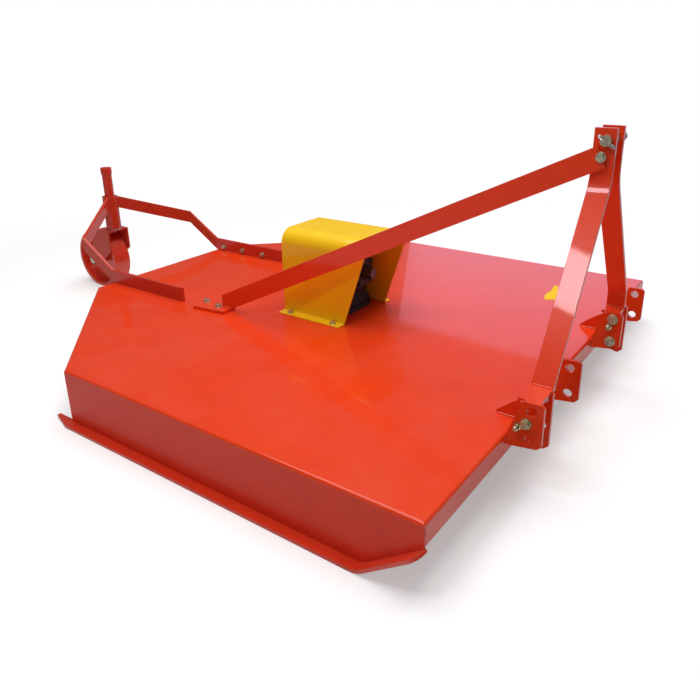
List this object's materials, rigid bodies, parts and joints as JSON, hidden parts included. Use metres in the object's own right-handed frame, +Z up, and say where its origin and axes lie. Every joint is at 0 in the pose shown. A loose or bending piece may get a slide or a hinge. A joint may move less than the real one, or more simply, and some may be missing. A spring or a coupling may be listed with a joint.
{
  "type": "slasher mower",
  "caption": "Tractor-mounted rotary slasher: folded deck with side skids, shielded gearbox, swinging blades, A-frame hitch and caster tail wheel.",
  "frame": {"origin": "on the ground, at the middle of the overall length and width", "axes": "+X forward to the tractor, +Y to the left, +Z up"},
  "size_m": [2.242, 1.654, 0.775],
  "materials": {
    "red_paint": "gloss",
    "yellow_paint": "gloss",
    "gearbox_paint": "painted",
    "bare_steel": "satin",
    "dark_steel": "satin",
    "zinc_steel": "zinc plated"
  },
  "bodies": {
    "frame": {"deck": "red_paint", "side_wall_right": "red_paint", "side_wall_left": "red_paint", "deck_rail_right": "red_paint", "deck_rail_left": "red_paint", "gearbox_plate": "red_paint", "outer_lug_right": "red_paint", "inner_lug_right": "red_paint", "inner_lug_left": "red_paint", "outer_lug_left": "red_paint", "leg_right": "red_paint", "leg_left": "red_paint", "hitch_bridge_right": "red_paint", "hitch_bridge_left": "red_paint", "brace": "red_paint", "tail_arm_right": "red_paint", "tail_arm_left": "red_paint", "spindle_socket": "red_paint", "skid_right": "red_paint", "skid_left": "red_paint", "top_link_pin": "zinc_steel", "gearbox_housing": "gearbox_paint", "front_bearing_cap": "gearbox_paint", "rear_bearing_cap": "gearbox_paint", "gearbox_shield": "yellow_paint"},
    "drive_shaft": {"input_shaft": "bare_steel"},
    "rotor": {"rotor_hub": "dark_steel", "blade_pan": "dark_steel", "pivot_bolt_a": "bare_steel", "pivot_bolt_b": "bare_steel"},
    "first_blade": {"blade_a": "bare_steel"},
    "second_blade": {"blade_b": "bare_steel"},
    "caster": {"caster_spindle": "red_paint", "caster_fork": "red_paint", "tail_axle": "zinc_steel"},
    "wheel": {"tail_wheel": "red_paint"}
  },
  "joints": [
    {"name": "rotor_spin", "type": "hinge", "parent": "frame", "child": "rotor", "pos_m": [0.269, 0, 0.1], "axis": [0, 0, 1], "continuous": true},
    {"name": "drive_shaft_spin", "type": "hinge", "parent": "frame", "child": "drive_shaft", "pos_m": [0.269, 0, 0.292], "axis": [1, 0, 0], "continuous": true},
    {"name": "first_blade_swing", "type": "hinge", "parent": "rotor", "child": "first_blade", "pos_m": [0.604, 0, 0.084], "axis": [0, 0, 1], "range_deg": [-125, 125]},
    {"name": "second_blade_swing", "type": "hinge", "parent": "rotor", "child": "second_blade", "pos_m": [-0.066, 0, 0.084], "axis": [0, 0, 1], "range_deg": [-125, 125]},
    {"name": "caster_swivel", "type": "hinge", "parent": "frame", "child": "caster", "pos_m": [-0.903, 0, 0.33], "axis": [0, 0, 1], "continuous": true},
    {"name": "tail_wheel_spin", "type": "hinge", "parent": "caster", "child": "wheel", "pos_m": [-0.999, 0, 0.122], "axis": [0, 1, 0], "continuous": true}
  ],
  "couplings": [
    {"joint": "drive_shaft_spin", "follows": "rotor_spin", "ratio": 0.5238}
  ]
}
